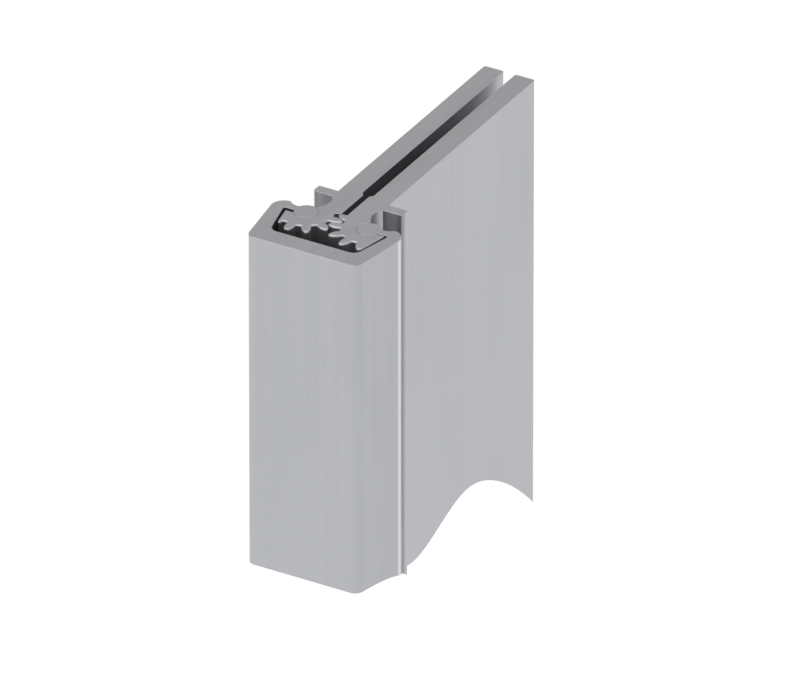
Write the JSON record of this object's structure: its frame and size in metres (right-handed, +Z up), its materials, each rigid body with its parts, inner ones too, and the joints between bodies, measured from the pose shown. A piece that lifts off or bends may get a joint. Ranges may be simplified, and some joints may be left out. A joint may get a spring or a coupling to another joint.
{
  "type": "geared continuous hinge",
  "caption": "Cut length of pinless continuous door hinge: leaves with meshing gear segments, held in mesh by a channel-shaped cap, with a thrust bearing.",
  "frame": {"origin": "on the frame leaf's mounting face, halfway across the leaf and level with the middle of the thrust bearing", "axes": "+Z up along the hinge, +Y from the cap towards the leaves' free edges when closed, +X from the frame leaf to the door leaf"},
  "size_m": [0.02, 0.0568, 0.0669],
  "materials": {
    "leaf_aluminium": "satin clear anodised",
    "cap_aluminium": "satin clear anodised",
    "acetal": "matt, natural white",
    "screw_steel": "plain"
  },
  "bodies": {
    "frame_leaf": {"frame_leaf": "leaf_aluminium"},
    "cap": {"gear_cap": "cap_aluminium", "thrust_bearing": "acetal", "cap_lock_screw": "screw_steel"},
    "door_leaf": {"door_leaf": "leaf_aluminium"}
  },
  "joints": [
    {"name": "cap_hinge", "type": "hinge", "parent": "frame_leaf", "child": "cap", "pos_m": [-0.00096, -0.02702, 0], "axis": [0, 0, -1], "range_deg": [0, 90]},
    {"name": "door_leaf_hinge", "type": "hinge", "parent": "cap", "child": "door_leaf", "pos_m": [0.0089, -0.02702, 0], "axis": [0, 0, -1], "range_deg": [0, 90]}
  ],
  "couplings": [
    {"joint": "door_leaf_hinge", "follows": "cap_hinge", "ratio": 1}
  ]
}
